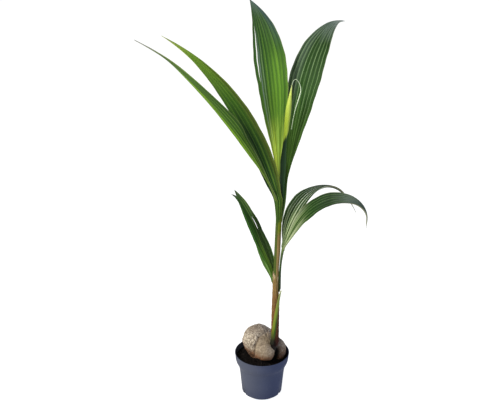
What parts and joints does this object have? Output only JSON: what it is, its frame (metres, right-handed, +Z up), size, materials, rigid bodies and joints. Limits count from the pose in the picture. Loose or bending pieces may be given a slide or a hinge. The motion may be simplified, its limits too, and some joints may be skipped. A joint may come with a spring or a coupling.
{
  "type": "potted coconut palm",
  "caption": "Young coconut palm sprouting from its nut in a round tapered nursery pot: a slim leaning stem carries split pleated leaves and one unopened leaf.",
  "frame": {"origin": "centre of the pot's flat underside", "axes": "+Z up along the pot's axis, -Y towards the viewer of the picture, +X to the viewer's right"},
  "size_m": [0.6228, 0.3491, 1.224],
  "materials": {
    "pot": "moulded plastic with a soft sheen",
    "soil": "moist dark compost",
    "husk": "dry fibrous husk",
    "stem": "green leaf bases, satin",
    "fibre": "dry brown leaf fibre",
    "old_stalk": "fresh green, satin",
    "stalk": "green, satin",
    "spear": "pale yellow-green, satin",
    "leaf_fresh": "pleated leaf, satin",
    "leaf_deep": "pleated leaf, satin",
    "leaf_old": "pleated leaf, satin"
  },
  "bodies": {
    "root": {"pot": "pot", "soil": "soil", "nut": "husk", "stem": "stem", "sheath": "fibre", "old_stalk": "old_stalk", "stalk_right": "stalk", "stalk_left": "stalk", "spear": "spear", "upright_lobe_left": "leaf_fresh", "upright_lobe_right": "leaf_deep", "leaning_lobe_upper": "leaf_fresh", "leaning_lobe_lower": "leaf_fresh", "low_lobe_front": "leaf_old", "low_lobe_back": "leaf_old", "arching_lobe_back_base": "leaf_deep", "arching_lobe_back_tip": "leaf_deep", "arching_lobe_front_base": "leaf_deep", "arching_lobe_front_tip": "leaf_deep"}
  },
  "joints": []
}
